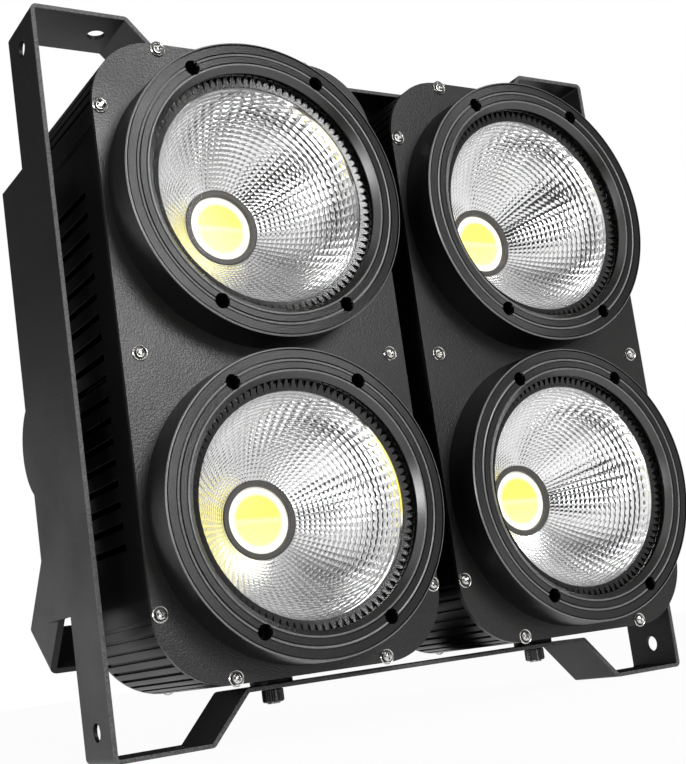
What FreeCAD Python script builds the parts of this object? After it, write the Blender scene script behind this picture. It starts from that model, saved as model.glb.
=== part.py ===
import FreeCAD, Part
import math
import os

# A stage blinder: two flat lamp modules, each with two round lamps, stand side by side in a bent
# steel frame. Each module pans about an upright axis, and a yoke behind the frame tilts the whole.
# Millimetres. While the pieces are made, Y runs from the modules' front face to the back, and
# X and Z start at the middle of the frame. Every piece is moved to the foot of the frame at the end.

# General
cut_overrun = 1.0
touching = 0.005
running_clearance = 0.05
free_clearance = 0.3
seat_clearance = 0.1

# Lamp rings and glasses
glass_radius = 73.6
glass_gauge = 3.0
ring_wall = 14.9
ring_depth = 25.0
ring_rim_inset = 0.5
ring_rim_drop = 2.6
ring_bevel_inset = 2.2
ring_bevel_drop = 0.5
ring_lip_overlap = 1.6
ring_lip_chamfer = 1.6
ring_lip_thickness = 4.8
ring_screw_inset = 5.4
ring_screw_step = 59.5
ring_screw_radius = 1.5
ring_screw_bite = 2.0
ring_head_radius = 3.5
ring_head_height = 3.0
ring_head_sink = 8.0
ring_sink_clearance = 1.0
seal_wall = 3.4
plate_opening_inset = 3.6

# Toothed trim behind each glass
trim_width = 8.6
trim_gauge = 2.5
trim_band = 1.7
trim_wall = 3.2
trim_notch_depth = 1.4
trim_tooth_count = 96
trim_notch_narrow_share = 0.12
trim_notch_wide_share = 0.88

# Reflectors
reflector_gauge = 1.0
reflector_sides = 72
reflector_rows = 12
reflector_curve = 1.6
reflector_throat_margin = 3.6
reflector_rear = 41.0
reflector_flange_gauge = 1.0

# Lamp modules
lamp_gap = 5.0
module_side_margin = 3.65
module_end_margin = 4.9
module_gap = 15.5
corner_radius = 42.0
front_gauge = 3.0
rear_gauge = 2.0
case_rear = 92.0
case_wall = 3.0
panel_recess = 2.0
panel_end_margin = 9.6
rib_groove_count = 10
rib_groove_width = 2.2
rib_groove_depth = 1.6
vent_count = 18
vent_pitch = 12.0
vent_height = 4.0
vent_front = 31.0
vent_length = 50.0

# Case screws, placed from the module's edges and corners
screw_end_inset = 3.3
screw_side_inset = 4.35
screw_middle_inset = 10.65
screw_corner_margin = 1.75
case_screw_radius = 2.0
case_screw_length = 9.0
case_head_radius = 4.2
case_head_height = 2.4
boss_radius = 5.2
boss_bore_depth = 12.0

# Light engines
holder_width = 56.0
holder_gauge = 3.0
holder_bore_radius = 20.4
chip_width = 46.0
chip_gauge = 1.6
chip_dome_radius = 18.6
chip_dome_height = 0.9

# Heat sink
sink_side_margin = 17.25
sink_end_margin = 24.6
sink_base = 5.0
sink_fin_count = 15
sink_fin_gauge = 2.0
sink_fin_depth = 18.0

# Cooling fan
fan_width = 80.0
fan_depth = 15.0
fan_rotor_depth = 10.7
fan_corner = 5.0
fan_wall = 2.0
fan_blade_gap = 2.0
fan_hub_radius = 15.0
fan_blade_count = 7
fan_blade_gauge = 1.6
fan_blade_pitch = 128.0
fan_blade_share = 0.72
fan_shaft_radius = 2.0
fan_hub_cap = 2.0
fan_spider_width = 6.0
fan_spider_gauge = 2.0
grille_ring_count = 3
grille_slot = 6.0
grille_spoke = 5.0
grille_spoke_turns = (45.0, 135.0)

# Driver box and its place below the fan
driver_width = 120.0
driver_height = 62.0
driver_depth = 13.0
driver_gap = 52.0
driver_corner = 3.0

# Sockets of the left module, from the top down
socket_width = 26.0
socket_height = 31.0
socket_corner = 3.0
socket_flange_gauge = 2.0
socket_body_radius = 12.0
socket_bore_radius = 9.6
socket_bore_depth = 14.0
socket_body_depth = 18.0
socket_spread = 35.0
socket_end_margin = 37.6
socket_pitch = 37.0
power_bore_radius = 10.4

# Control panel below the sockets
panel_x = -28.0
panel_drop = 42.0
window_width = 46.0
window_height = 20.0
window_gauge = 1.5
button_names = ("menu", "down", "up", "enter")
button_radius = 3.6
button_pitch = 14.0
button_first_x = 8.0
button_stand = 2.0
button_travel = 1.0
button_flange_radius = 4.8
button_flange_gauge = 1.2
board_width = 116.0
board_height = 30.0
board_gauge = 1.6
board_rear = 83.0

# Frame
strap_gauge = 2.5
strap_width = 44.2
strap_front = 31.5
bend_radius = 1.2
frame_side_gap = 15.25
pan_gap = 3.2
shelf_rise = 27.2
shelf_length = 59.0
slope_run = 25.1
flare_width = 40.8
flare_height = 267.7
bar_length = 120.0
link_hole_radius = 5.3
link_hole_inset = 17.7
shelf_hole_inset = 47.6

# Pan pivots
pan_stud_radius = 4.0
pan_head_radius = 8.0
pan_head_height = 4.0
pan_spacer_radius = 12.8
pan_stud_reach = 9.0
pan_nut_radius = 6.5
pan_nut_height = 8.0
pan_nut_chamfer = 0.8
lock_nut_width = 13.0
lock_nut_height = 7.0
lock_nut_sides = 6

# Yoke
yoke_width = 40.0
yoke_gauge = 4.0
yoke_bend_radius = 1.0
yoke_lean = 41.5
yoke_pad_radius = 33.0
yoke_upper_length = 74.5
yoke_lower_length = 62.8
yoke_overlap = 12.0
yoke_hole_radius = 6.5
tilt_margin = 11.0
tilt_drop = 29.0

# Tilt levers
tilt_stud_radius = 4.0
tilt_pocket_depth = 2.0
lever_hub_radius = 8.0
lever_hub_length = 9.0
lever_length = 46.0
lever_root_width = 13.0
lever_tip_width = 10.0
lever_gauge = 7.0
lever_tip_round = 3.5
lever_droop = 20.0

# Lamp places that follow from the sizes above
ring_bore_radius = glass_radius + seat_clearance
ring_base_radius = ring_bore_radius + ring_wall
ring_rim_radius = ring_base_radius - ring_rim_inset
ring_bevel_radius = ring_base_radius - ring_bevel_inset
ring_throat_radius = glass_radius - ring_lip_overlap
ring_lip_radius = ring_throat_radius + ring_lip_chamfer
ring_screw_circle = ring_bore_radius + ring_screw_inset
ring_screw_seat = -ring_depth + ring_head_sink + ring_head_height
ring_sink_radius = ring_head_radius + ring_sink_clearance
plate_opening_radius = glass_radius - plate_opening_inset
trim_inner_radius = glass_radius - trim_width
notch_outer_radius = glass_radius - trim_wall
notch_inner_radius = trim_inner_radius + trim_band
reflector_throat_radius = holder_bore_radius + reflector_throat_margin
glass_front = -ring_depth + ring_lip_thickness + seat_clearance
glass_rear = glass_front + glass_gauge
trim_front = glass_rear + seat_clearance
trim_rear = trim_front + trim_gauge
flange_rear = trim_rear + reflector_flange_gauge
holder_front = reflector_rear
chip_front = holder_front + holder_gauge
sink_front = chip_front + chip_gauge

# Module places
lamp_pitch = 2 * ring_base_radius + lamp_gap
module_half_width = ring_base_radius + module_side_margin
module_half_height = lamp_pitch / 2 + ring_base_radius + module_end_margin
module_width = 2 * module_half_width
module_height = 2 * module_half_height
module_pitch = module_width + module_gap
panel_height = 2 * (module_half_height - corner_radius - panel_end_margin)
screw_near_x = module_half_width - corner_radius - screw_corner_margin
screw_near_z = module_half_height - screw_end_inset
screw_far_x = module_half_width - screw_side_inset
screw_far_z = module_half_height - corner_radius
screw_middle_x = module_half_width - screw_middle_inset
sink_width = module_width - 2 * sink_side_margin
sink_height = module_height - 2 * sink_end_margin
cover_rear = case_rear + rear_gauge
fan_bore_radius = fan_width / 2 - fan_wall
fan_blade_radius = fan_bore_radius - fan_blade_gap
driver_drop = fan_width / 2 + driver_gap
fan_rotor_rear = case_rear - fan_depth + fan_spider_gauge + free_clearance + fan_rotor_depth
power_z = module_half_height - socket_end_margin
signal_z = power_z - socket_pitch
panel_z = signal_z - panel_drop

# Frame and yoke places
flat_inner = module_half_height + pan_gap
flat_outer = flat_inner + strap_gauge
half_width = module_pitch / 2 + module_half_width + frame_side_gap + strap_gauge
half_height = flat_outer + shelf_rise
strap_rear = strap_front + strap_width
strap_middle = (strap_front + strap_rear) / 2
yoke_outer = half_width - strap_gauge - free_clearance
yoke_inner = yoke_outer - yoke_gauge
lean = math.radians(yoke_lean)
arm_down = FreeCAD.Vector(0, math.sin(lean), -math.cos(lean))
arm_across = FreeCAD.Vector(0, math.cos(lean), math.sin(lean))
tilt_centre = FreeCAD.Vector(0, cover_rear + tilt_margin, -tilt_drop)
arm_knee = tilt_centre + FreeCAD.Vector(0, 0, -yoke_upper_length)
bar_centre = arm_knee + arm_down * yoke_lower_length
yoke_rear = (bar_centre + arm_across * (yoke_width / 2)).y
box_middle = (yoke_rear - ring_depth) / 2

AXIS_X = FreeCAD.Vector(1, 0, 0)
AXIS_Y = FreeCAD.Vector(0, 1, 0)
AXIS_Z = FreeCAD.Vector(0, 0, 1)


def at(x, y, z):
    return FreeCAD.Vector(x, y, z)


def outline(corners, origin, across, up):
    """A closed wire through corners (u, v, radius), with each corner rounded by its radius."""
    points = [origin + across * u + up * v for u, v, radius in corners]
    edges = []
    joints = []
    count = len(corners)
    for index, (u, v, radius) in enumerate(corners):
        corner = points[index]
        back = (points[index - 1] - corner).normalize()
        ahead = (points[(index + 1) % count] - corner).normalize()
        if not radius:
            joints.append((corner, None, corner))
            continue
        half = math.acos(max(-1.0, min(1.0, back.dot(ahead)))) / 2
        middle = (back + ahead).normalize()
        centre = corner + middle * (radius / math.sin(half))
        reach = radius / math.tan(half)
        joints.append((corner + back * reach, centre - middle * radius, corner + ahead * reach))
    for index in range(count):
        start, middle, end = joints[index]
        if middle:
            edges.append(Part.Arc(start, middle, end).toShape())
        following = joints[(index + 1) % count][0]
        if (following - end).Length > touching:
            edges.append(Part.LineSegment(end, following).toShape())
    return Part.Wire(edges)


def prism(corners, origin, across, up, length):
    """The outline filled and drawn out along length."""
    return Part.Face(outline(corners, origin, across, up)).extrude(length)


def rectangle(width, height, radius, x=0, z=0):
    """Corners of an upright rectangle about (x, z), all rounded alike."""
    w = width / 2
    h = height / 2
    return [(x - w, z - h, radius), (x + w, z - h, radius), (x + w, z + h, radius), (x - w, z + h, radius)]


def slab(corners, front, depth):
    """An upright plate: corners in X and Z, drawn backwards from front by depth."""
    return prism(corners, at(0, front, 0), AXIS_X, AXIS_Z, AXIS_Y * depth)


def rod(radius, length, foot, direction):
    return Part.makeCylinder(radius, length, foot, direction)


def turned(profile, x, z):
    """A ring or bowl: points (radius, y) turned about the axis along Y through (x, z)."""
    points = [at(radius, y, 0) for radius, y in profile]
    face = Part.Face(Part.makePolygon(points + points[:1]))
    solid = face.revolve(at(0, 0, 0), AXIS_Y, 360)
    solid.translate(at(x, 0, z))
    return solid


def join(shapes):
    first, *rest = shapes
    return first.multiFuse(rest).removeSplitter() if rest else first


def cut_all(shape, tools):
    return shape.cut(Part.makeCompound(tools)) if tools else shape


def strip_corners(points, gauge, radius):
    """Corners of a bent strip: points on its outer face, the metal to the right of the path."""
    ends = len(points) - 1
    outer = []
    inner = []
    for index, (u, v) in enumerate(points):
        normals = []
        for start, end in ((index - 1, index), (index, index + 1)):
            if start < 0 or end > ends:
                continue
            du = points[end][0] - points[start][0]
            dv = points[end][1] - points[start][1]
            size = math.hypot(du, dv)
            normals.append((dv / size, -du / size))
        if len(normals) == 1:
            nu, nv = normals[0]
            outer.append((u, v, 0))
            inner.append((u + nu * gauge, v + nv * gauge, 0))
            continue
        (au, av), (bu, bv) = normals
        spread = 1 + au * bu + av * bv
        inwards = au * bv - av * bu < 0
        outer_radius = radius + gauge if inwards else radius
        inner_radius = radius if inwards else radius + gauge
        outer.append((u, v, outer_radius))
        inner.append((u + (au + bu) * gauge / spread, v + (av + bv) * gauge / spread, inner_radius))
    return outer + inner[::-1]


def save(name, solids):
    """Moves a piece from the working frame to the foot of the light, and writes it."""
    shape = Part.makeCompound(solids) if isinstance(solids, list) else solids
    shape = shape.copy()
    shape.translate(at(0, -box_middle, half_height))
    shape.exportStep(os.path.join("parts", name + ".step"))
    volume = sum(solid.Volume for solid in shape.Solids)
    print(name, len(shape.Solids), round(volume), shape.isValid())


def screw(head_radius, head_height, radius, length, seat, direction):
    """A screw whose head rests on seat and whose shank runs along direction."""
    shank = rod(radius, length, seat, direction)
    head = rod(head_radius, head_height, seat, direction * -1)
    return join([head, shank])


def screw_places():
    """The ten case screws of a module, in X and Z from its middle."""
    places = []
    for side in (-1, 1):
        places.append((side * screw_middle_x, 0))
        for level in (-1, 1):
            places.append((side * screw_near_x, level * screw_near_z))
            places.append((side * screw_far_x, level * screw_far_z))
    return places


def lamp_screw_places(x, z):
    """The four ring screws of a lamp at (x, z)."""
    places = []
    for side in (-1, 1):
        for level in (-1, 1):
            angle = math.radians(ring_screw_step)
            places.append((x + side * ring_screw_circle * math.cos(angle),
                           z + level * ring_screw_circle * math.sin(angle)))
    return places


# Housing: an extruded tube with ribbed corners, recessed sides, vents and screw channels

def housing(x):
    side = module_half_width
    end = module_half_height
    deep = side - panel_recess
    step = panel_height / 2
    tube = [(side, -end, corner_radius), (side, -step, 0), (deep, -step, 0), (deep, step, 0),
            (side, step, 0), (side, end, corner_radius)]
    tube += [(-u, -v, radius) for u, v, radius in tube]
    depth = case_rear - front_gauge
    outer = slab(tube, front_gauge, depth)
    inner = slab(rectangle(2 * (deep - case_wall), 2 * (end - case_wall), corner_radius - case_wall),
                 front_gauge, depth)
    bosses = []
    bores = []
    for u, v in screw_places():
        boss = rod(boss_radius, depth, at(u, front_gauge, v), AXIS_Y)
        if not v:
            reach = (deep - abs(u)) * (1 if u > 0 else -1)
            web = slab(rectangle(abs(reach), 2 * boss_radius, 0, u + reach / 2, v), front_gauge, depth)
            boss = boss.fuse(web)
        bosses.append(boss)
        radius = case_screw_radius + seat_clearance
        bores.append(rod(radius, boss_bore_depth, at(u, front_gauge, v), AXIS_Y))
        bores.append(rod(radius, boss_bore_depth, at(u, case_rear, v), AXIS_Y * -1))
    shell = outer.cut(inner).fuse(bosses).common(outer)
    grooves = []
    spread = math.pi / 2 / rib_groove_count
    for across in (-1, 1):
        for up in (-1, 1):
            for index in range(rib_groove_count):
                angle = (index + 1 / 2) * spread
                out = at(across * math.cos(angle), 0, up * math.sin(angle))
                u = across * (side - corner_radius)
                v = up * (end - corner_radius)
                low = corner_radius - rib_groove_depth
                high = corner_radius + cut_overrun
                half = rib_groove_width / 2
                corners = [(-half, low, 0), (half, low, 0), (half, high, 0), (-half, high, 0)]
                foot = at(u, front_gauge, v)
                grooves.append(prism(corners, foot, out.cross(AXIS_Y), out, AXIS_Y * depth))
    vents = []
    for index in range(vent_count):
        z = (index - (vent_count - 1) / 2) * vent_pitch
        vents.append(slab(rectangle(module_width, vent_height, 0, 0, z), vent_front, vent_length))
    inside = slab(rectangle(2 * (deep - case_wall), module_height, 0), vent_front, vent_length)
    slots = Part.makeCompound(vents).cut(inside)
    studs = []
    for level in (-1, 1):
        foot = at(0, strap_middle, level * (end - case_wall - cut_overrun))
        radius = pan_stud_radius + seat_clearance
        studs.append(rod(radius, case_wall + 2 * cut_overrun, foot, AXIS_Z * level))
    body = cut_all(shell, grooves + bores + studs)
    body = body.cut(slots)
    body.translate(at(x, 0, 0))
    return body


def front_plate(x):
    plate = slab(rectangle(module_width, module_height, corner_radius), 0, front_gauge)
    depth = front_gauge + 2 * cut_overrun
    holes = [rod(case_screw_radius + seat_clearance, depth, at(u, -cut_overrun, v), AXIS_Y)
             for u, v in screw_places()]
    for level in (-1, 1):
        z = level * lamp_pitch / 2
        holes.append(rod(plate_opening_radius, depth, at(0, -cut_overrun, z), AXIS_Y))
        holes += [rod(ring_screw_radius + seat_clearance, depth, at(u, -cut_overrun, v), AXIS_Y)
                  for u, v in lamp_screw_places(0, z)]
    body = cut_all(plate, holes)
    body.translate(at(x, 0, 0))
    return body


def grille_cuts():
    """Ring slots over the fan, broken by four spokes."""
    depth = rear_gauge + 2 * cut_overrun
    front = case_rear - cut_overrun
    step = fan_bore_radius / (grille_ring_count + 1)
    rings = []
    for index in range(grille_ring_count):
        radius = step * (index + 1) + step / 2
        ring = rod(radius + grille_slot / 2, depth, at(0, front, 0), AXIS_Y)
        rings.append(ring.cut(rod(radius - grille_slot / 2, depth, at(0, front, 0), AXIS_Y)))
    reach = 2 * fan_bore_radius
    spokes = []
    for turn in grille_spoke_turns:
        bar = slab(rectangle(reach, grille_spoke, 0), front, depth)
        bar.rotate(at(0, 0, 0), AXIS_Y, turn)
        spokes.append(bar)
    return [Part.makeCompound(rings).cut(Part.makeCompound(spokes))]


def socket_places():
    return [(side * socket_spread, z) for z in (signal_z, power_z) for side in (-1, 1)]


def button_places():
    return [(button_first_x + index * button_pitch, panel_z) for index in range(len(button_names))]


def rear_cover(x, has_panel):
    plate = slab(rectangle(module_width, module_height, corner_radius), case_rear, rear_gauge)
    front = case_rear - cut_overrun
    depth = rear_gauge + 2 * cut_overrun
    holes = [rod(case_screw_radius + seat_clearance, depth, at(u, front, v), AXIS_Y)
             for u, v in screw_places()]
    holes += grille_cuts()
    if has_panel:
        holes += [rod(socket_body_radius + seat_clearance, depth, at(u, front, v), AXIS_Y)
                  for u, v in socket_places()]
        holes += [rod(button_radius + free_clearance, depth, at(u, front, v), AXIS_Y)
                  for u, v in button_places()]
        holes.append(slab(rectangle(window_width, window_height, 0, panel_x, panel_z), front, depth))
    body = cut_all(plate, holes)
    body.translate(at(x, 0, 0))
    return body


def case_screws(x):
    """Ten screws in the front plate and ten in the rear cover."""
    solids = []
    for u, v in screw_places():
        solids.append(screw(case_head_radius, case_head_height, case_screw_radius, case_screw_length,
                            at(x + u, 0, v), AXIS_Y))
        solids.append(screw(case_head_radius, case_head_height, case_screw_radius, case_screw_length,
                            at(x + u, cover_rear, v), AXIS_Y * -1))
    return solids


# Lamps

def lens_ring(x, z):
    """The turned black ring: an outer wall, a rolled edge, a flat face and a lip over the glass."""
    lip_rear = -ring_depth + ring_lip_thickness
    profile = [(ring_base_radius, 0), (ring_rim_radius, -ring_depth + ring_rim_drop),
               (ring_bevel_radius, -ring_depth + ring_bevel_drop), (ring_lip_radius, -ring_depth),
               (ring_throat_radius, lip_rear), (ring_bore_radius, lip_rear), (ring_bore_radius, 0)]
    body = turned(profile, x, z)
    tools = []
    sink = ring_head_sink + ring_head_height + cut_overrun
    for u, v in lamp_screw_places(x, z):
        tools.append(rod(ring_sink_radius, sink, at(u, -ring_depth - cut_overrun, v), AXIS_Y))
        foot = at(u, ring_screw_seat - cut_overrun, v)
        tools.append(rod(ring_screw_radius + seat_clearance, ring_depth, foot, AXIS_Y))
    return cut_all(body, tools)


def ring_screws(x):
    solids = []
    length = ring_screw_bite - ring_screw_seat
    for level in (-1, 1):
        for u, v in lamp_screw_places(x, level * lamp_pitch / 2):
            seat = at(u, ring_screw_seat, v)
            solids.append(screw(ring_head_radius, ring_head_height, ring_screw_radius, length, seat, AXIS_Y))
    return solids


def lens_glass(x, z):
    return rod(glass_radius, glass_gauge, at(x, glass_front, z), AXIS_Y)


def toothed_trim():
    """A flat black ring whose face has a row of wedge notches, with pointed teeth between them."""
    foot = at(0, trim_front, 0)
    disc = rod(glass_radius, trim_gauge, foot, AXIS_Y).cut(rod(trim_inner_radius, trim_gauge, foot, AXIS_Y))
    narrow = notch_inner_radius * math.tan(math.pi / trim_tooth_count * trim_notch_narrow_share)
    wide = notch_outer_radius * math.tan(math.pi / trim_tooth_count * trim_notch_wide_share)
    corners = [(notch_inner_radius, -narrow, 0), (notch_outer_radius, -wide, 0),
               (notch_outer_radius, wide, 0), (notch_inner_radius, narrow, 0)]
    origin = at(0, trim_front - cut_overrun, 0)
    wedge = prism(corners, origin, AXIS_X, AXIS_Z, AXIS_Y * (trim_notch_depth + cut_overrun))
    notches = []
    for index in range(trim_tooth_count):
        notch = wedge.copy()
        notch.rotate(at(0, 0, 0), AXIS_Y, 360 * index / trim_tooth_count)
        notches.append(notch)
    return cut_all(disc, notches)


def faceted_bowl(levels):
    """A solid of flat facets through rings of corners at levels (radius, y)."""
    turns = [2 * math.pi * index / reflector_sides for index in range(reflector_sides)]
    rings = [[at(radius * math.cos(turn), y, radius * math.sin(turn)) for turn in turns]
             for radius, y in levels]
    faces = [Part.Face(Part.makePolygon(ring + ring[:1])) for ring in (rings[0], rings[-1])]
    for near, far in zip(rings, rings[1:]):
        for index in range(reflector_sides):
            ahead = (index + 1) % reflector_sides
            loop = [near[index], near[ahead], far[ahead], far[index], near[index]]
            faces.append(Part.Face(Part.makePolygon(loop)))
    solid = Part.Solid(Part.Shell(faces))
    if solid.Volume < 0:
        solid.reverse()
    return solid


def reflector():
    """A bowl of flat mirror facets, with a flange behind the toothed trim, about the Y axis."""
    span = trim_inner_radius - reflector_throat_radius
    depth = reflector_rear - trim_rear
    levels = []
    for row in range(reflector_rows + 1):
        share = row / reflector_rows
        radius = reflector_throat_radius + span * (1 - share ** reflector_curve)
        levels.append((radius, trim_rear + depth * share))
    skin = [(radius + reflector_gauge, y) for radius, y in levels]
    outer = turned([(0, trim_rear)] + skin + [(0, reflector_rear)], 0, 0)
    flange = rod(glass_radius, reflector_flange_gauge, at(0, trim_rear, 0), AXIS_Y)
    return join([outer, flange]).cut(faceted_bowl(levels))


def seal_rings(x):
    """Silicone rings that press each glass and reflector against the lens ring."""
    solids = []
    for level in (-1, 1):
        z = level * lamp_pitch / 2
        foot = at(x, flange_rear, z)
        ring = rod(glass_radius, -flange_rear, foot, AXIS_Y)
        solids.append(ring.cut(rod(glass_radius - seal_wall, -flange_rear, foot, AXIS_Y)))
    return solids


def chip_holders(x):
    solids = []
    for level in (-1, 1):
        z = level * lamp_pitch / 2
        plate = slab(rectangle(holder_width, holder_width, 0, x, z), holder_front, holder_gauge)
        solids.append(plate.cut(rod(holder_bore_radius, holder_gauge, at(x, holder_front, z), AXIS_Y)))
    return solids


def light_chips(x):
    """Flat light chips: a base plate with a round glowing layer that stands in the holder's bore."""
    solids = []
    for level in (-1, 1):
        z = level * lamp_pitch / 2
        plate = slab(rectangle(chip_width, chip_width, 0, x, z), chip_front, chip_gauge)
        layer = rod(chip_dome_radius, chip_dome_height, at(x, chip_front, z), AXIS_Y * -1)
        solids.append(join([plate, layer]))
    return solids


# Pieces inside each case

def heat_sink(x):
    base = slab(rectangle(sink_width, sink_height, 0, x), sink_front, sink_base)
    step = (sink_width - sink_fin_gauge) / (sink_fin_count - 1)
    fins = []
    for index in range(sink_fin_count):
        u = x - sink_width / 2 + sink_fin_gauge / 2 + index * step
        fin = rectangle(sink_fin_gauge, sink_height, 0, u)
        fins.append(slab(fin, sink_front + sink_base, sink_fin_depth))
    return join([base] + fins)


def driver_box(x):
    z = -driver_drop - driver_height / 2
    front = case_rear - driver_depth
    return slab(rectangle(driver_width, driver_height, driver_corner, x, z), front, driver_depth)


def fan_frame(x):
    front = case_rear - fan_depth
    frame = slab(rectangle(fan_width, fan_width, fan_corner, x), front, fan_depth)
    well = at(x, front + fan_spider_gauge, 0)
    frame = frame.cut(rod(fan_bore_radius, fan_depth - fan_spider_gauge, well, AXIS_Y))
    windows = rod(fan_bore_radius, fan_spider_gauge, at(x, front, 0), AXIS_Y)
    arms = [slab(rectangle(fan_width, fan_spider_width, 0, x), front, fan_spider_gauge),
            slab(rectangle(fan_spider_width, fan_width, 0, x), front, fan_spider_gauge),
            rod(fan_hub_radius, fan_spider_gauge, at(x, front, 0), AXIS_Y)]
    shaft_length = fan_rotor_rear - fan_hub_cap - free_clearance - front
    shaft = rod(fan_shaft_radius, shaft_length, at(x, front, 0), AXIS_Y)
    return join([frame.cut(windows.cut(join(arms))), shaft])


def fan_rotor(x):
    front = fan_rotor_rear - fan_rotor_depth
    depth = fan_rotor_depth
    hub = rod(fan_hub_radius, depth, at(x, front, 0), AXIS_Y)
    blades = []
    reach = fan_blade_radius - fan_hub_radius / 2
    chord = depth * fan_blade_share
    for index in range(fan_blade_count):
        corner = at(fan_hub_radius / 2, -fan_blade_gauge / 2, -chord / 2)
        blade = Part.makeBox(reach, fan_blade_gauge, chord, corner)
        blade.rotate(at(0, 0, 0), AXIS_X, fan_blade_pitch)
        blade.rotate(at(0, 0, 0), AXIS_Y, 360 * index / fan_blade_count)
        blade.translate(at(x, front + depth / 2, 0))
        blades.append(blade)
    bore = rod(fan_shaft_radius + running_clearance, depth - fan_hub_cap, at(x, front, 0), AXIS_Y)
    tip = rod(fan_blade_radius, depth, at(x, front, 0), AXIS_Y)
    return join([hub] + blades).common(tip).cut(bore)


def display_window(x):
    front = cover_rear - window_gauge
    return slab(rectangle(window_width, window_height, 0, x + panel_x, panel_z), front, window_gauge)


def control_board(x):
    return slab(rectangle(board_width, board_height, 0, x, panel_z), board_rear - board_gauge, board_gauge)


def push_button(x, place):
    """A cap through the rear cover, with a flange inside that keeps it in."""
    u, v = place
    front = board_rear + button_travel + free_clearance
    stem = rod(button_radius, cover_rear + button_stand - front, at(x + u, front, v), AXIS_Y)
    flange = rod(button_flange_radius, button_flange_gauge,
                 at(x + u, case_rear - button_flange_gauge - seat_clearance, v), AXIS_Y)
    return join([stem, flange])


def sockets(x, z, bore_radius):
    """Two panel sockets: a flange on the cover, and a round body with its well open to the back."""
    solids = []
    for side in (-1, 1):
        u = x + side * socket_spread
        mouth = cover_rear + socket_flange_gauge
        flange = slab(rectangle(socket_width, socket_height, socket_corner, u, z),
                      cover_rear, socket_flange_gauge)
        body = rod(socket_body_radius, socket_body_depth, at(u, cover_rear, z), AXIS_Y * -1)
        well = rod(bore_radius, socket_bore_depth, at(u, mouth, z), AXIS_Y * -1)
        solids.append(join([flange, body]).cut(well))
    return solids


# Pan pivots between the modules and the frame

def pan_studs(x):
    """A stud through the top and the bottom wall, and the lock nut of the top one."""
    solids = []
    inside = module_half_height - case_wall
    length = case_wall + pan_gap + strap_gauge + pan_stud_reach
    for level in (-1, 1):
        seat = at(x, strap_middle, level * inside)
        solids.append(screw(pan_head_radius, pan_head_height, pan_stud_radius, length, seat, AXIS_Z * level))
    corners = []
    corner = lock_nut_width / 2 / math.cos(math.pi / lock_nut_sides)
    for index in range(lock_nut_sides):
        angle = 2 * math.pi * index / lock_nut_sides
        corners.append((corner * math.cos(angle), corner * math.sin(angle), 0))
    foot = at(x, strap_middle, flat_outer + seat_clearance)
    nut = prism(corners, foot, AXIS_X, AXIS_Y, AXIS_Z * lock_nut_height)
    solids.append(nut.cut(rod(pan_stud_radius + running_clearance, lock_nut_height, foot, AXIS_Z)))
    return solids


def pan_spacers(x):
    solids = []
    thickness = pan_gap - seat_clearance
    for level in (-1, 1):
        foot = at(x, strap_middle, level * module_half_height)
        disc = rod(pan_spacer_radius, thickness, foot, AXIS_Z * level)
        solids.append(disc.cut(rod(pan_stud_radius + seat_clearance, thickness, foot, AXIS_Z * level)))
    return solids


def pan_nut(x):
    """The round nut under the frame, turned by hand to lock the pan."""
    top = -flat_outer - seat_clearance
    foot = at(x, strap_middle, top)
    nut = rod(pan_nut_radius, pan_nut_height, foot, AXIS_Z * -1)
    rims = [edge for edge in nut.Edges if isinstance(edge.Curve, Part.Circle)]
    nut = nut.makeChamfer(pan_nut_chamfer, rims)
    bore = rod(pan_stud_radius + running_clearance, pan_nut_height, foot, AXIS_Z * -1)
    return nut.cut(bore)


# Frame

def side_bracket(side):
    """A C of flat steel: the side plate with its wide middle, and half of the top and bottom."""
    seam = bar_length / 2
    slope_end = half_width - shelf_length - slope_run
    shelf_end = half_width - shelf_length
    path = [(seam, flat_outer), (slope_end, flat_outer), (shelf_end, half_height), (half_width, half_height)]
    path += [(u, -v) for u, v in path[::-1]]
    corners = [(side * u, v, radius) for u, v, radius in strip_corners(path, strap_gauge, bend_radius)]
    strip = slab(corners, strap_front, strap_width)
    plate_middle = side * (half_width - strap_gauge / 2)
    flare = slab(rectangle(strap_gauge, flare_height, 0, plate_middle), strap_rear, flare_width)
    body = join([strip, flare])
    through = strap_gauge + 2 * cut_overrun
    drill_x = side * (half_width - strap_gauge - cut_overrun)
    shelf_x = side * (half_width - shelf_hole_inset)
    shelf_z = half_height - strap_gauge - cut_overrun
    holes = []
    for level in (-1, 1):
        link = at(drill_x, strap_middle, level * (half_height - link_hole_inset))
        holes.append(rod(link_hole_radius, through, link, AXIS_X * side))
        shelf_link = at(shelf_x, strap_middle, level * shelf_z)
        holes.append(rod(link_hole_radius, through, shelf_link, AXIS_Z * level))
        pivot = at(side * module_pitch / 2, strap_middle, level * (flat_inner - cut_overrun))
        holes.append(rod(pan_stud_radius + running_clearance, through, pivot, AXIS_Z * level))
    pocket = at(drill_x, tilt_centre.y, tilt_centre.z)
    drilled = tilt_pocket_depth + cut_overrun
    holes.append(rod(tilt_stud_radius + running_clearance, drilled, pocket, AXIS_X * side))
    return cut_all(body, holes)


def cross_bar(level):
    """The flat bar between the brackets, welded to their ends."""
    foot = at(-bar_length / 2, strap_front, min(level * flat_inner, level * flat_outer))
    return Part.makeBox(bar_length, strap_width, strap_gauge, foot)


# Yoke

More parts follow.
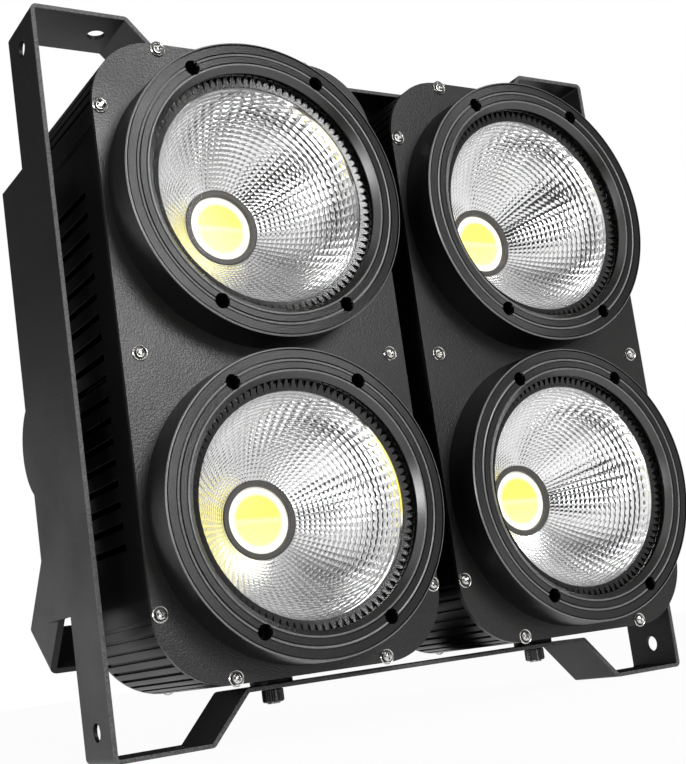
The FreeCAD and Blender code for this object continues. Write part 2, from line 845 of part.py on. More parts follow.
def yoke():
    """One bent flat: a round pad at each pivot, arms that lean back, and a bar behind the modules."""
    reach = yoke_lower_length
    path = [(-yoke_outer, 0), (-yoke_outer, reach), (yoke_outer, reach), (yoke_outer, 0)]
    corners = strip_corners(path, yoke_gauge, yoke_bend_radius)
    half = yoke_width / 2
    lower = prism(corners, arm_knee - arm_across * half, AXIS_X, arm_down, arm_across * yoke_width)
    pull = half * math.tan(lean / 2)
    tail = arm_down * yoke_overlap
    pieces = [lower]
    for side in (-1, 1):
        face = at(side * yoke_inner, 0, 0)
        outwards = AXIS_X * (side * yoke_gauge)
        knee_front = arm_knee + at(0, -half, -pull)
        knee_rear = arm_knee + at(0, half, pull)
        points = [tilt_centre + at(0, -half, 0), knee_front, knee_front + tail, knee_rear + tail, knee_rear,
                  tilt_centre + at(0, half, 0)]
        loop = Part.makePolygon([face + point for point in points + points[:1]])
        blank = Part.Face(loop).extrude(outwards)
        pad = rod(yoke_pad_radius, yoke_gauge, face + tilt_centre, AXIS_X * side)
        pieces += [blank, pad]
    body = join(pieces)
    through = yoke_gauge + 2 * cut_overrun
    holes = [rod(yoke_hole_radius, through, bar_centre + arm_down * cut_overrun, arm_down * -1)]
    for side in (-1, 1):
        foot = at(side * (yoke_inner - cut_overrun), 0, 0) + tilt_centre
        holes.append(rod(tilt_stud_radius + running_clearance, through, foot, AXIS_X * side))
    return cut_all(body, holes)


def tilt_lever(side):
    """A clamp lever: a stud into the side plate, a hub against the yoke and a tapered handle."""
    face = side * (yoke_inner - seat_clearance)
    seat = at(face, 0, 0) + tilt_centre
    pocket_floor = half_width - strap_gauge + tilt_pocket_depth
    reach = pocket_floor - free_clearance - yoke_inner + seat_clearance
    stud = rod(tilt_stud_radius, reach, seat, AXIS_X * side)
    hub = rod(lever_hub_radius, lever_hub_length, seat, AXIS_X * -side)
    droop = math.radians(lever_droop)
    along = at(0, math.cos(droop), -math.sin(droop))
    across = at(0, math.sin(droop), math.cos(droop))
    root = lever_root_width / 2
    tip = lever_tip_width / 2
    corners = [(0, -root, 0), (lever_length, -tip, lever_tip_round),
               (lever_length, tip, lever_tip_round), (0, root, 0)]
    start = seat - AXIS_X * (side * lever_hub_length)
    handle = prism(corners, start, along, across, AXIS_X * (side * lever_gauge))
    return join([stud, hub, handle])


os.makedirs("parts", exist_ok=True)

bowl = reflector()
trim = toothed_trim()
for side_name, side in (("left", -1), ("right", 1)):
    centre = side * module_pitch / 2
    has_panel = side < 0
    save("housing_" + side_name, housing(centre))
    save("front_plate_" + side_name, front_plate(centre))
    save("rear_cover_" + side_name, rear_cover(centre, has_panel))
    save("case_screws_" + side_name, case_screws(centre))
    save("ring_screws_" + side_name, ring_screws(centre))
    save("seal_rings_" + side_name, seal_rings(centre))
    save("chip_holders_" + side_name, chip_holders(centre))
    save("light_chips_" + side_name, light_chips(centre))
    save("heat_sink_" + side_name, heat_sink(centre))
    save("driver_box_" + side_name, driver_box(centre))
    save("fan_frame_" + side_name, fan_frame(centre))
    save("fan_rotor_" + side_name, fan_rotor(centre))
    save("pan_studs_" + side_name, pan_studs(centre))
    save("pan_spacers_" + side_name, pan_spacers(centre))
    save("pan_nut_" + side_name, pan_nut(centre))
    save("side_bracket_" + side_name, side_bracket(side))
    save("tilt_lever_" + side_name, tilt_lever(side))
    trims = []
    for level_name, level in (("upper", 1), ("lower", -1)):
        lamp_z = level * lamp_pitch / 2
        place_name = level_name + "_" + side_name
        save("lens_ring_" + place_name, lens_ring(centre, lamp_z))
        save("lens_glass_" + place_name, lens_glass(centre, lamp_z))
        save("reflector_" + place_name, bowl.translated(at(centre, 0, lamp_z)))
        trims.append(trim.translated(at(centre, 0, lamp_z)))
    save("toothed_trims_" + side_name, trims)

left_centre = -module_pitch / 2
save("display_window", display_window(left_centre))
save("control_board", control_board(left_centre))
save("signal_sockets", sockets(left_centre, signal_z, socket_bore_radius))
save("power_sockets", sockets(left_centre, power_z, power_bore_radius))
for button_name, place in zip(button_names, button_places()):
    save("button_" + button_name, push_button(left_centre, place))

save("top_bar", cross_bar(1))
save("bottom_bar", cross_bar(-1))
save("yoke", yoke())
print("offset from working frame", round(-box_middle, 4), round(half_height, 4))
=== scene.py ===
import math

import bmesh
import bpy
from mathutils import Matrix, Vector, noise


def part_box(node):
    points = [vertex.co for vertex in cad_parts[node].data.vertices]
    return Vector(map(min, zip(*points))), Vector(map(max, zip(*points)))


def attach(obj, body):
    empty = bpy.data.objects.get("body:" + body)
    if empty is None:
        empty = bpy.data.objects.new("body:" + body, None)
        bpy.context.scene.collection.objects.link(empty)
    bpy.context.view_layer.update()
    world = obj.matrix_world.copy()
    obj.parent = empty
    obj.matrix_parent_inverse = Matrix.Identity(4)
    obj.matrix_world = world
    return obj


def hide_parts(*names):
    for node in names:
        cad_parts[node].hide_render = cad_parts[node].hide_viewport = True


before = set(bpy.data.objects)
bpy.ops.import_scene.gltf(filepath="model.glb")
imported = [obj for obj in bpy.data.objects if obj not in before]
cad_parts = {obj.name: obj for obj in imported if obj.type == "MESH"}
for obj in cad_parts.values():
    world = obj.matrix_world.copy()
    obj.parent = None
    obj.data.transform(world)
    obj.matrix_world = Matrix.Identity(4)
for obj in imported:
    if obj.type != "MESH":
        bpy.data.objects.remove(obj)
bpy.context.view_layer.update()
scene = bpy.context.scene
scene.view_settings.view_transform = "Standard"

# The view: a long lens stands low at the light's left front and looks up at it a little.
camera_data = bpy.data.cameras.new("camera")
camera_data.lens = 61.23
camera_data.shift_x = -0.0281
camera_data.shift_y = 0.1099
camera = bpy.data.objects.new("camera", camera_data)
camera.location = (-0.45993, -0.70958, 0.04072)
camera.rotation_euler = [math.radians(turn) for turn in (98.1405, 8.029, -31.5704)]
scene.collection.objects.link(camera)
scene.camera = camera


# The room: a pale floor under a white surround. Soft boxes stand left, in front and behind.
# What shines in metal is bright in front, dimmer to the right, and dark behind, above and
# where the camera's stand is, over a dark mat on the floor.

stand_way = (-0.54, -0.84, 0.05)
mat_middle = (-0.47, -0.72, 0.0)


def linear(code):
    """An sRGB hex code as a linear colour with full alpha."""
    channels = [int(code[start:start + 2], 16) / 255 for start in (1, 3, 5)]
    return [c / 12.92 if c <= 0.04045 else ((c + 0.055) / 1.055) ** 2.4 for c in channels] + [1.0]


def add(tree, kind, inputs, **settings):
    """Adds a node; each input takes a value, or the socket that feeds it."""
    made = tree.nodes.new("ShaderNode" + kind)
    for name, value in settings.items():
        setattr(made, name, value)
    for name, value in inputs.items():
        if isinstance(value, bpy.types.NodeSocket):
            tree.links.new(value, made.inputs[name])
        else:
            made.inputs[name].default_value = value
    return made


def surround():
    """A white background for the eye, a studio for reflections and a soft glow for fill."""
    world = bpy.data.worlds.new("surround")
    world.use_nodes = True
    tree = world.node_tree
    tree.nodes.clear()
    path = add(tree, "LightPath", {})
    place = add(tree, "TexCoord", {})
    split = add(tree, "SeparateXYZ", {"Vector": place.outputs["Generated"]})
    front = add(tree, "MapRange", {"Value": split.outputs["Y"], "From Min": 0.3, "From Max": 0.0,
                                   "To Min": 0.06, "To Max": 1.0})
    side = add(tree, "MapRange", {"Value": split.outputs["X"], "From Min": 0.15, "From Max": 0.6,
                                  "To Min": 1.0, "To Max": 0.35})
    above = add(tree, "MapRange", {"Value": split.outputs["Z"], "From Min": 0.74, "From Max": 0.88,
                                   "To Min": 1.0, "To Max": 0.1})
    towards = add(tree, "VectorMath", {0: place.outputs["Generated"], 1: stand_way},
                  operation="DOT_PRODUCT")
    stand = add(tree, "MapRange", {"Value": towards.outputs["Value"], "From Min": 0.88,
                                   "From Max": 0.95, "To Min": 1.0, "To Max": 0.02})
    bright = front.outputs["Result"]
    for part in (side, above, stand):
        product = add(tree, "Math", {0: bright, 1: part.outputs["Result"]}, operation="MULTIPLY")
        bright = product.outputs[0]
    fill = add(tree, "Background", {"Color": linear("#ffffff"), "Strength": 0.3})
    shine = add(tree, "Background", {"Color": linear("#ffffff"), "Strength": bright})
    sight = add(tree, "Background", {"Color": linear("#ffffff"), "Strength": 1.0})
    glossy = add(tree, "MixShader", {"Fac": path.outputs["Is Glossy Ray"], 1: fill.outputs[0],
                                     2: shine.outputs[0]})
    seen = add(tree, "Math", {0: path.outputs["Is Camera Ray"],
                              1: path.outputs["Is Transmission Ray"]}, operation="MAXIMUM")
    both = add(tree, "MixShader", {"Fac": seen.outputs[0], 1: glossy.outputs[0],
                                   2: sight.outputs[0]})
    add(tree, "OutputWorld", {"Surface": both.outputs[0]})
    scene.world = world


def floor():
    """A matt pale floor that keeps the shadow, and a dark mat in front that only metal mirrors."""
    material = bpy.data.materials.new("pale_floor_paint")
    material.use_nodes = True
    tree = material.node_tree
    tree.nodes.clear()
    path = add(tree, "LightPath", {})
    paint = add(tree, "BsdfDiffuse", {"Color": linear("#f2f2f2")})
    shown = add(tree, "Math", {0: path.outputs["Is Camera Ray"], 1: path.outputs["Is Glossy Ray"]},
                operation="MAXIMUM")
    share = add(tree, "Math", {0: shown.outputs[0], 1: 0.96}, operation="MULTIPLY")
    spot = add(tree, "TexCoord", {})
    gap = add(tree, "VectorMath", {0: spot.outputs["Object"], 1: mat_middle}, operation="DISTANCE")
    mat = add(tree, "MapRange", {"Value": gap.outputs["Value"], "From Min": 0.38, "From Max": 0.48,
                                 "To Min": 0.98, "To Max": 0.0})
    hidden = add(tree, "Math", {0: mat.outputs["Result"], 1: path.outputs["Is Glossy Ray"]},
                 operation="MULTIPLY")
    left = add(tree, "Math", {0: 1.0, 1: hidden.outputs[0]}, operation="SUBTRACT")
    glow = add(tree, "Emission", {"Color": linear("#ffffff"), "Strength": left.outputs[0]})
    both = add(tree, "MixShader", {"Fac": share.outputs[0], 1: paint.outputs[0],
                                   2: glow.outputs[0]})
    add(tree, "OutputMaterial", {"Surface": both.outputs[0]})
    mesh = bpy.data.meshes.new("floor")
    shape = bmesh.new()
    bmesh.ops.create_grid(shape, x_segments=1, y_segments=1, size=6.0)
    shape.to_mesh(mesh)
    shape.free()
    ground = bpy.data.objects.new("floor", mesh)
    ground.data.materials.append(material)
    scene.collection.objects.link(ground)


def soft_box(name, place, aim, width, power):
    """A square lamp at place that faces the point aim."""
    data = bpy.data.lights.new(name, "AREA")
    data.size = width
    data.energy = power
    lamp = bpy.data.objects.new(name, data)
    lamp.location = place
    lamp.rotation_euler = (Vector(aim) - Vector(place)).to_track_quat("-Z", "Y").to_euler()
    scene.collection.objects.link(lamp)


surround()
floor()
middle = (0.0, 0.0, 0.2)
soft_box("left_box", (-1.9, -0.9, 0.2), middle, 0.9, 27.0)
soft_box("front_box", (0.4, -1.9, 0.95), middle, 0.7, 20.0)
soft_box("back_box", (-1.0, 1.9, 0.2), middle, 0.8, 2.0)


# The frame: side brackets and bars of bent flat steel, welded, and blasted with black powder coat.
# The coat is finely pimpled, and a patchy grey along the front cut edges is a painted highlight.

weld_gap = 0.000002
sharp_angle = math.radians(40)


def grained(name, tone, speck, roughness, grain, relief, metallic=0.0, shine=0.25):
    """A surface whose tone and height follow a fine grain, in millimetres, and its gloss patches
    of 60 grains."""
    material = bpy.data.materials.new(name)
    material.use_nodes = True
    tree = material.node_tree
    shader = tree.nodes["Principled BSDF"]
    shader.inputs["Metallic"].default_value = metallic
    shader.inputs["Specular IOR Level"].default_value = shine
    place = add(tree, "TexCoord", {}).outputs["Object"]
    fine = add(tree, "TexNoise", {"Vector": place, "Scale": 1000 / grain, "Detail": 3.0})
    broad = add(tree, "TexNoise", {"Vector": place, "Scale": 1000 / (60 * grain), "Detail": 4.0})
    spread = add(tree, "MapRange", {"Value": fine.outputs["Fac"], "From Min": 0.35, "From Max": 0.7,
                                    "To Max": 0.5})
    colour = add(tree, "Mix", {0: spread.outputs["Result"], 6: linear(tone), 7: linear(speck)},
                 data_type="RGBA")
    gloss = add(tree, "MapRange", {"Value": broad.outputs["Fac"], "From Min": 0.3, "From Max": 0.7,
                                   "To Min": roughness - 0.06, "To Max": roughness + 0.06})
    bump = add(tree, "Bump", {"Height": fine.outputs["Fac"], "Strength": 0.6,
                              "Distance": relief / 1000})
    tree.links.new(colour.outputs[2], shader.inputs["Base Color"])
    tree.links.new(gloss.outputs["Result"], shader.inputs["Roughness"])
    tree.links.new(bump.outputs["Normal"], shader.inputs["Normal"])
    return material


def coated(piece, material):
    """Gives a piece this material alone."""
    piece.data.materials.clear()
    piece.data.materials.append(material)


def dressed(piece, body, slot, material, *nodes):
    """Gives a piece its material, hangs it on the empty of its body, and hides the solids it stands
    for.
    """
    coated(piece, material)
    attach(piece, body)
    if nodes:
        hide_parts(*nodes)
    return piece


def placed(name, shape, smooth_angle=35):
    """A new object from a finished bmesh, smooth but for its sharp and its marked edges."""
    mesh = bpy.data.meshes.new(name)
    for edge in shape.edges:
        flat = len(edge.link_faces) == 2 and edge.calc_face_angle() < math.radians(smooth_angle)
        edge.smooth = edge.smooth and flat
    for face in shape.faces:
        face.smooth = True
    shape.to_mesh(mesh)
    shape.free()
    piece = bpy.data.objects.new(name, mesh)
    scene.collection.objects.link(piece)
    even = piece.modifiers.new("even", "WEIGHTED_NORMAL")
    even.keep_sharp = True
    return piece


def merged(node):
    """A bmesh of a solid of the frame, with its loose triangles joined into flat faces."""
    shape = bmesh.new()
    shape.from_mesh(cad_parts[node].data)
    bmesh.ops.remove_doubles(shape, verts=shape.verts, dist=weld_gap)
    bmesh.ops.dissolve_limit(shape, angle_limit=math.radians(0.4), verts=shape.verts,
                             edges=shape.edges)
    return shape


def softened(node, radius, body, slot, material):
    """A copy of a solid with its sharp edges rounded by radius millimetres."""
    shape = merged(node)
    sharp = [edge for edge in shape.edges
             if len(edge.link_faces) == 2 and edge.calc_face_angle() > sharp_angle]
    bmesh.ops.bevel(shape, geom=sharp, offset=radius / 1000, offset_type="OFFSET", affect="EDGES",
                    segments=2, profile=0.5, clamp_overlap=True, material=-1)
    piece = placed(node + "_finished", shape)
    return dressed(piece, body, slot, material, node)


def powder_coat(front):
    """Fine-grained black powder coat, with a grey painted highlight along its front edge at y =
    front.
    """
    material = grained("black_powder_coat", "#121213", "#292a2a", 0.42, 0.9, 0.25)
    tree = material.node_tree
    shader = tree.nodes["Principled BSDF"]
    place = add(tree, "TexCoord", {}).outputs["Object"]
    split = add(tree, "SeparateXYZ", {"Vector": place})
    # Painted highlight: a patchy grey mixed in along the strap's front edge, where light catches
    # it.
    edge = add(tree, "MapRange", {"Value": split.outputs["Y"], "From Min": front + 0.0011,
                                  "From Max": front + 0.0002})
    patch = add(tree, "TexNoise", {"Vector": place, "Scale": 700.0, "Detail": 4.0})
    painted_glint_patches = add(tree, "MapRange", {"Value": patch.outputs["Fac"], "From Min": 0.3, "From Max": 0.7,
                                  "To Min": 0.3, "To Max": 0.9})
    share = add(tree, "Math", {0: edge.outputs["Result"], 1: painted_glint_patches.outputs["Result"]},
                operation="MULTIPLY")
    coat = shader.inputs["Base Color"].links[0].from_socket
    colour = add(tree, "Mix", {0: share.outputs[0], 6: coat, 7: linear("#6e6e6e")},
                 data_type="RGBA")
    tree.links.new(colour.outputs[2], shader.inputs["Base Color"])
    return material


coat = powder_coat(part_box("top_bar")[0].y)
for node in ("side_bracket_left", "side_bracket_right", "top_bar", "bottom_bar"):
    softened(node, 0.5, "frame", "frame_steel", coat)


# The yoke: one more bent flat with the same coat, which hangs the light and tilts it.
# Its bar shows below the left side plate and in the gap between the modules.

softened("yoke", 0.6, "yoke", "frame_steel", coat)


# The cases: aluminium tubes, extruded front to back with ribbed corners, and anodised black.
# The die leaves faint lines along the tube, and the anodising has a satin shine.

def anodised_extrusion():
    """Black anodised aluminium with fine lines along Y."""
    line_pitch = 1.5
    material = grained("black_anodised_extrusion", "#080809", "#111112", 0.34, 1.2, 0.1, shine=0.2)
    tree = material.node_tree
    shader = tree.nodes["Principled BSDF"]
    place = add(tree, "TexCoord", {})
    stretch = add(tree, "Mapping", {"Vector": place.outputs["Object"], "Scale": (1.0, 0.02, 1.0)})
    lines = add(tree, "TexNoise", {"Vector": stretch.outputs["Vector"], "Scale": 1000 / line_pitch,
                                   "Detail": 2.0})
    bump = add(tree, "Bump", {"Height": lines.outputs["Fac"], "Strength": 0.3, "Distance": 0.0002,
                              "Normal": shader.inputs["Normal"].links[0].from_socket})
    tree.links.new(bump.outputs["Normal"], shader.inputs["Normal"])
    return material


extrusion = anodised_extrusion()
for side in ("left", "right"):
    softened("housing_" + side, 0.25, "module_" + side, "case_aluminium", extrusion)


# The front plates and rear covers: sheet steel with a fine-textured matt black coat.
# The grain of the coat shows as grey specks where the light rakes over it.

plate_coat = grained("textured_matt_coat", "#0e0e0d", "#2c2c2a", 0.33, 1.0, 0.3, shine=0.5)
for side in ("left", "right"):
    softened("front_plate_" + side, 0.4, "module_" + side, "plate_black", plate_coat)
    softened("rear_cover_" + side, 0.35, "module_" + side, "plate_black", plate_coat)


# The case screws: nickel plated pan heads with a cross recess, each in a pressed cup washer.
# They hold the front plate and the rear cover to the screw channels of the case.

def turned(profile, segments, closed=True):
    """A bmesh ring or knob: points (radius, height) in millimetres, turned about the Z axis."""
    shape = bmesh.new()
    points = [shape.verts.new((radius / 1000, 0, height / 1000)) for radius, height in profile]
    pairs = list(zip(points, points[1:]))
    if closed:
        pairs.append((points[-1], points[0]))
    edges = [shape.edges.new(pair) for pair in pairs]
    bmesh.ops.spin(shape, geom=points + edges, cent=(0, 0, 0), axis=(0, 0, 1), dvec=(0, 0, 0),
                   angle=2 * math.pi, steps=segments, use_merge=True)
    bmesh.ops.remove_doubles(shape, verts=shape.verts, dist=0.000001)
    bmesh.ops.recalc_face_normals(shape, faces=shape.faces)
    return shape


def carved(shape, cutters):
    """The bmesh with the closed bmeshes in cutters taken out of it."""
    target = placed("blank", shape)
    tools = []
    for cutter in cutters:
        tool = placed("cutter", cutter)
        cut = target.modifiers.new("cut", "BOOLEAN")
        cut.object = tool
        cut.operation = "DIFFERENCE"
        cut.solver = "EXACT"
        tools.append(tool)
    bpy.context.view_layer.update()
    result = bmesh.new()
    result.from_object(target, bpy.context.evaluated_depsgraph_get())
    for thing in tools + [target]:
        data = thing.data
        bpy.data.objects.remove(thing)
        bpy.data.meshes.remove(data)
    return result


def cross_cutter(width, reach, depth, top):
    """Two crossed wedges, narrower at the bottom, for a cross recess."""
    wedges = []
    for quarter in (0, 1):
        wedge = bmesh.new()
        bmesh.ops.create_cube(wedge, size=1.0)
        for vert in wedge.verts:
            narrow = 1.0 if vert.co.z > 0 else 0.35
            vert.co.x *= 2 * reach * narrow / 1000
            vert.co.y *= width * (1.0 if vert.co.z > 0 else 0.7) / 1000
            vert.co.z = (top if vert.co.z > 0 else top - depth) / 1000
        bmesh.ops.rotate(wedge, verts=wedge.verts, cent=(0, 0, 0),
                         matrix=Matrix.Rotation(quarter * math.pi / 2, 3, "Z"))
        wedges.append(wedge)
    return wedges


def joined(shape, extra):
    """The first bmesh with the second one added to it."""
    mesh = bpy.data.meshes.new("extra")
    extra.to_mesh(mesh)
    extra.free()
    shape.from_mesh(mesh)
    bpy.data.meshes.remove(mesh)
    return shape


def domed_screw(radius, height, cup_radius=0, cup_height=0):
    """A pan head with a cross recess on the plane Z = 0, in its cup washer where it has one."""
    profile = [(0, 0), (radius, 0), (radius, 0.4 * height), (0.9 * radius, 0.75 * height),
               (0.55 * radius, 0.96 * height), (0, height)]
    head = turned(profile, 24, closed=False)
    head = carved(head, cross_cutter(0.44 * radius, 0.76 * radius, 0.9 * height, height + 0.1))
    if cup_radius:
        washer = turned([(cup_radius - 0.9, 0), (cup_radius, 0), (cup_radius, 0.7 * cup_height),
                         (cup_radius - 0.3, cup_height), (cup_radius - 0.6, 0.9 * cup_height),
                         (cup_radius - 0.9, 0.5 * cup_height)], 32)
        head = joined(head, washer)
    return head


def copies(shape, places, matrices):
    """One bmesh that holds a copy of shape at each place, turned by its matrix."""
    mesh = bpy.data.meshes.new("pattern")
    shape.to_mesh(mesh)
    shape.free()
    result = bmesh.new()
    for place, matrix in zip(places, matrices):
        known = len(result.verts)
        result.from_mesh(mesh)
        result.verts.ensure_lookup_table()
        fresh = result.verts[known:]
        bmesh.ops.rotate(result, verts=fresh, cent=(0, 0, 0), matrix=matrix)
        bmesh.ops.translate(result, verts=fresh, vec=place)
    bpy.data.meshes.remove(mesh)
    return result


def islands(node):
    """The boxes of the separate solids in a node, as (lowest, highest) corners."""
    shape = bmesh.new()
    shape.from_mesh(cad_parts[node].data)
    bmesh.ops.remove_doubles(shape, verts=shape.verts, dist=weld_gap)
    left = set(shape.verts)
    boxes = []
    while left:
        start = left.pop()
        group = [start]
        stack = [start]
        while stack:
            for edge in stack.pop().link_edges:
                for vert in edge.verts:
                    if vert in left:
                        left.remove(vert)
                        group.append(vert)
                        stack.append(vert)
        low = Vector([min(vert.co[axis] for vert in group) for axis in range(3)])
        high = Vector([max(vert.co[axis] for vert in group) for axis in range(3)])
        boxes.append((low, high))
    shape.free()
    return sorted(boxes, key=lambda box: tuple(round(value, 4) for value in box[0]))


def facing(direction, turn):
    """The turn about its own axis, then the turn that points Z along direction."""
    aim = Vector((0, 0, 1)).rotation_difference(Vector(direction)).to_matrix()
    return aim @ Matrix.Rotation(turn, 3, "Z")


def bright_metal(name, tone, smear_size, detail, smoothest, roughest):
    """Metal of one tone, whose gloss changes in faint smears of a size in millimetres."""
    material = bpy.data.materials.new(name)
    material.use_nodes = True
    tree = material.node_tree
    shader = tree.nodes["Principled BSDF"]
    shader.inputs["Metallic"].default_value = 1.0
    shader.inputs["Base Color"].default_value = linear(tone)
    place = add(tree, "TexCoord", {}).outputs["Object"]
    smear = add(tree, "TexNoise", {"Vector": place, "Scale": 1000 / smear_size, "Detail": detail})
    gloss = add(tree, "MapRange", {"Value": smear.outputs["Fac"], "To Min": smoothest,
                                   "To Max": roughest})
    tree.links.new(gloss.outputs["Result"], shader.inputs["Roughness"])
    return material


# Nickel plate on steel: nearly white, smooth, and smeared where it was handled.
nickel = bright_metal("bright_nickel_plate", "#d6d5d2", 3.0, 4.0, 0.06, 0.2)
for side in ("left", "right"):
    module = "module_" + side
    node = "case_screws_" + side
    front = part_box("front_plate_" + side)[0].y
    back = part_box("rear_cover_" + side)[1].y
    noise.seed_set(7 if side == "left" else 11)
    places = []
    turns = []
    for low, high in islands(node):
        centre = (low + high) / 2
        at_front = high.y < (front + back) / 2
        places.append((centre.x, front if at_front else back, centre.z))
        turns.append(facing((0, -1, 0) if at_front else (0, 1, 0), noise.random() * math.pi))
    screws = copies(domed_screw(2.9, 2.7, 4.6, 1.0), places, turns)
    dressed(placed(node + "_finished", screws), module, "screw_chrome", nickel, node)


# The lamp rings: turned aluminium with a sloped wall, a rolled edge and turned grooves in its face.
# They are anodised black, and the thin bright lines on the lathe's cut edges are painted
# highlights.

ring_grooves = (86.7, 81.5, 79.6, 75.6)
ring_beads = ((88.8, 87.0), (81.2, 79.9), (75.3, 74.0))
groove_half = 0.4
groove_depth = 1.4
ring_wall = 14.9
lip_overlap = 2.7
lip_edge = 74.1
lip_depth = 4.0
hole_radius = 4.5
head_seat = 3
drill_length = 20


def ring_profile(base, bore, depth):
    """The outline of a lamp ring from its largest radius, its bore and its depth."""
    fall = 0.5 / (base - bore)
    points = [(base, 0), (base - 0.4, depth - 2.4), (base - 0.6, depth - 1.0),
              (base - 1.1, depth - 0.35), (base - 1.5, depth - 0.3)]

    def face(radius):
        return depth - 0.1 - (radius - bore) * fall

    for radius in ring_grooves:
        outer = radius + groove_half
        inner = radius - groove_half
        root = face(radius) - groove_depth
        points += [(outer, face(outer) - 0.1), (outer - 0.1, root), (inner + 0.1, root),
                   (inner, face(inner) - 0.1)]
        if radius == ring_grooves[1]:
            points.append((radius - 0.95, face(radius) + 0.1))
    lip = bore - lip_overlap
    points += [(74.9, depth), (74.5, depth), (lip_edge, depth - 0.3), (lip, depth - 3.8),
               (lip, depth - 4.8), (bore, depth - 4.8), (bore, 0)]
    return points


def faced_forward(shape, place):
    """Turns a bmesh, so that what was its top faces the front, and moves it to place."""
    bmesh.ops.rotate(shape, verts=shape.verts, cent=(0, 0, 0),
                     matrix=Matrix.Rotation(math.pi / 2, 3, "X"))
    bmesh.ops.translate(shape, verts=shape.verts, vec=place)
    return shape


def ring_body(node, screw_boxes):
    """One lamp ring with its four sunken screw holes."""
    low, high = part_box(node)
    centre = (low + high) / 2
    base = (high.x - low.x) * 500
    shape = turned(ring_profile(base, base - ring_wall, (high.y - low.y) * 1000), 192)
    cutters = []
    for screw_low, screw_high in screw_boxes:
        spot = (screw_low + screw_high) / 2 - centre
        cutter = bmesh.new()
        bmesh.ops.create_cone(cutter, cap_ends=True, segments=32, radius1=hole_radius / 1000,
                              radius2=hole_radius / 1000, depth=drill_length / 1000)
        seat = high.y - screw_low.y - head_seat / 1000
        bmesh.ops.translate(cutter, verts=cutter.verts,
                            vec=(spot.x, -spot.z, seat + drill_length / 2000))
        cutters.append(cutter)
    return faced_forward(carved(shape, cutters), (centre.x, high.y, centre.z))


def paint_bead_highlights(piece, low, high, *bright):
    """Paints a highlight on the raised beads of a ring's face, and gives its lip's slope a glossier
    finish.
    """
    for material in bright:
        piece.data.materials.append(material)
    middle_x = (low.x + high.x) / 2
    middle_z = (low.z + high.z) / 2
    for face in piece.data.polygons:
        reach = math.hypot(face.center.x - middle_x, face.center.z - middle_z) * 1000
        depth = (face.center.y - low.y) * 1000
        on_bead = any(inner < reach < outer for outer, inner in ring_beads)
        if reach < lip_edge and depth < lip_depth:
            face.material_index = 2
        elif on_bead and depth < 1.2 and face.normal.y < -0.05:
            face.material_index = 1


def brushed(material, amount):
    """Turns a material's shine into that of a surface cut on a lathe about the Y axis."""
    tree = material.node_tree
    lay = add(tree, "Tangent", {}, direction_type="RADIAL", axis="Y")
    shader = tree.nodes["Principled BSDF"]
    shader.inputs["Anisotropic"].default_value = amount
    tree.links.new(lay.outputs["Tangent"], shader.inputs["Tangent"])
    return material


anodised = grained("black_anodised_turning", "#070707", "#1b1b1b", 0.34, 0.9, 0.3, shine=0.5)
ring_coat = brushed(anodised, 0.8)
# A painted highlight: the lighter grey on the beads stands in for light caught by the cut edges.
bead_highlight_coat = grained("painted_highlight_turned_edge", "#646464", "#949494", 0.3, 0.9, 0.1, shine=0.5)
bore_coat = grained("smooth_turned_lip", "#151513", "#1c1c1a", 0.3, 0.9, 0.05, shine=1.0)
for side in ("left", "right"):
    screw_boxes = islands("ring_screws_" + side)
    for level in ("upper", "lower"):
        node = "lens_ring_%s_%s" % (level, side)
        low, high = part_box(node)
        own = [box for box in screw_boxes if low.z < box[0].z < high.z]
        piece = placed(node + "_finished", ring_body(node, own), 25)
        dressed(piece, "module_" + side, "ring_black", ring_coat, node)
        paint_bead_highlights(piece, low, high, bead_highlight_coat, bore_coat)


# The ring screws: small blackened pan heads at the bottom of the sunken holes.

blackened = grained("blackened_steel", "#1c1c1d", "#4a4a4a", 0.3, 0.6, 0.1, metallic=0.7)
for side in ("left", "right"):
    node = "ring_screws_" + side
    places = []
    turns = []
    for low, high in islands(node):
        centre = (low + high) / 2
        places.append((centre.x, low.y + head_seat / 1000, centre.z))
        turns.append(facing((0, -1, 0), noise.random() * math.pi))
    screws = copies(domed_screw(3.5, 2.8), places, turns)
    dressed(placed(node + "_finished", screws), "module_" + side, "screw_black", blackened,
            node)


# The toothed trims: moulded black rings behind the glass. Wedge notches in the face leave a row
# of teeth that point outwards.

trim_teeth = 96
trim_bore = 65.0
notch_outer = 71.6
notch_inner = 66.9


def by_level(node):
    """The boxes of a node's lower and upper solid, each with the name of its level."""
    return zip(("lower", "upper"), sorted(islands(node), key=lambda box: box[0].z))


def toothed_ring(low, high, teeth):
    """One trim: a turned ring whose face falls towards the bowl, with wedge notches in it."""
    centre = (low + high) / 2
    outer = (high.x - low.x) * 500
    back = -(high.y - low.y) * 1000
    shape = turned([(outer, 0), (73.0, 0), (notch_outer, -0.6), (66.7, -1.3), (65.1, -1.5),
                    (trim_bore, back), (outer, back)], 4 * teeth)
    wedge = bmesh.new()
    bmesh.ops.create_cube(wedge, size=1.0)
    for vert in wedge.verts:
        radius = notch_outer if vert.co.x > 0 else notch_inner
        width = 2 * math.pi * radius / teeth * (0.88 if vert.co.x > 0 else 0.12)
        slope = 1.0 if vert.co.z > 0 else 0.8
        height = 1.0 if vert.co.z > 0 else -2.2
        vert.co = (radius / 1000, vert.co.y * width * slope / 1000, height / 1000)
    turns = [Matrix.Rotation(2 * math.pi * index / teeth, 3, "Z") for index in range(teeth)]
    shape = carved(shape, [copies(wedge, [(0, 0, 0)] * teeth, turns)])
    return faced_forward(shape, (centre.x, low.y, centre.z))


trim_plastic = grained("moulded_black_abs", "#0d0d0c", "#191917", 0.22, 0.8, 0.03, shine=0.7)
for side in ("left", "right"):
    node = "toothed_trims_" + side
    for level, (low, high) in by_level(node):
        trim = toothed_ring(low, high, trim_teeth)
        piece = placed("toothed_trim_%s_%s" % (level, side), trim, 20)
        dressed(piece, "module_" + side, "trim_black", trim_plastic, node)


